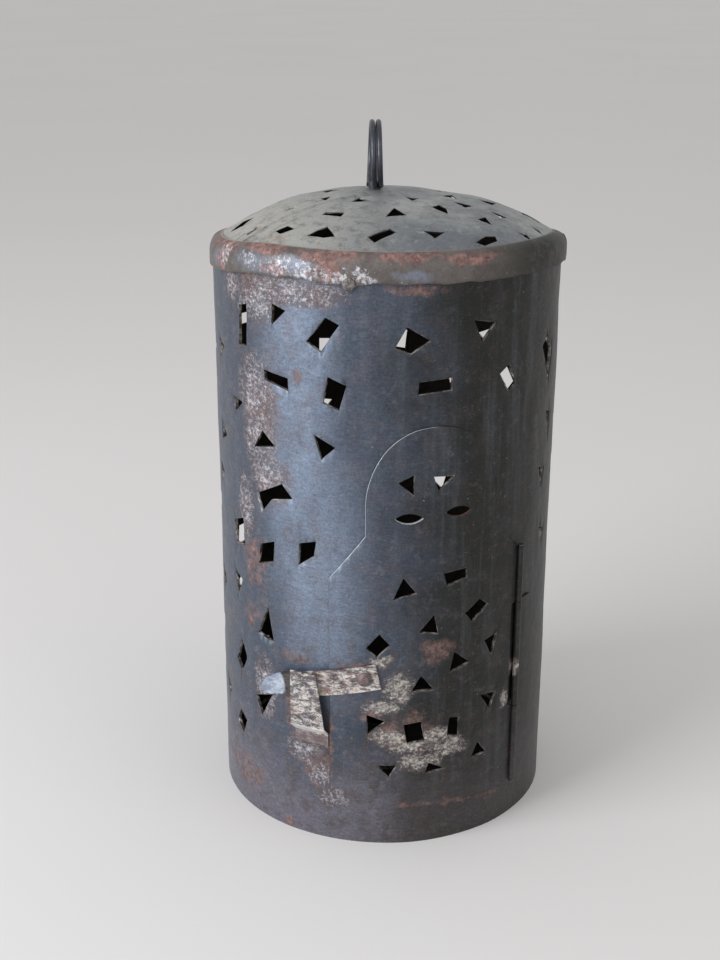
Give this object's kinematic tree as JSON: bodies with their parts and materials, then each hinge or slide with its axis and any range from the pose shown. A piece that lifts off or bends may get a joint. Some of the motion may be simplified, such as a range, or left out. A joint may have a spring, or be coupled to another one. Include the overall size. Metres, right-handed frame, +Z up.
{
  "type": "punched tin lantern",
  "caption": "Punched tin candle lantern: a pierced drum under a shallow pierced dome with a hanging ring, an arched hinged door with a turn latch, and a candle socket inside.",
  "frame": {"origin": "centre of the underside of the drum, on its axis, where the lantern stands", "axes": "+Z up along the drum, -Y out through the middle of the door, +X to the right of someone facing the door (the hinge side)"},
  "size_m": [0.1463, 0.1456, 0.2886],
  "materials": {
    "blackened_tin": "aged blue-black paint on tinplate, satin, with flaking and rust",
    "dusty_tin": "aged grey-black paint under dust, matte",
    "rusted_band": "olive-black paint, rusted and flaked to bare tin",
    "bare_tin": "worn tinplate with rust and pale flakes",
    "dark_wire": "dark iron wire, satin",
    "solder": "dull grey soft solder",
    "inner_tin": "sooted tinplate, matte"
  },
  "bodies": {
    "lantern": {"body_shell": "blackened_tin", "side_seam_solder": "solder", "base_plate": "inner_tin", "base_solder": "solder", "candle_socket": "inner_tin", "socket_solder": "solder", "lid_dome": "dusty_tin", "lid_band": "rusted_band", "lid_solder": "solder", "hinge_pin": "dark_wire", "hinge_strap": "blackened_tin", "strap_solder": "solder", "latch_keeper": "bare_tin", "keeper_solder": "solder"},
    "door": {"door_panel": "blackened_tin", "latch_rivet": "bare_tin", "rivet_burr": "bare_tin"},
    "latch": {"latch_bar": "bare_tin"},
    "ring": {"hanging_ring": "dark_wire"}
  },
  "joints": [
    {"name": "door_swing", "type": "hinge", "parent": "lantern", "child": "door", "pos_m": [0.04009, -0.06059, 0.0713], "axis": [0, 0, 1], "range_deg": [0, 180]},
    {"name": "latch_turn", "type": "hinge", "parent": "door", "child": "latch", "pos_m": [-0.02691, -0.06732, 0.077], "axis": [0.3712, 0.9286, 0], "range_deg": [0, 30]},
    {"name": "ring_swivel", "type": "hinge", "parent": "lantern", "child": "ring", "pos_m": [-0.0049, 0.0014, 0.262], "axis": [0, 0, 1], "continuous": true}
  ]
}
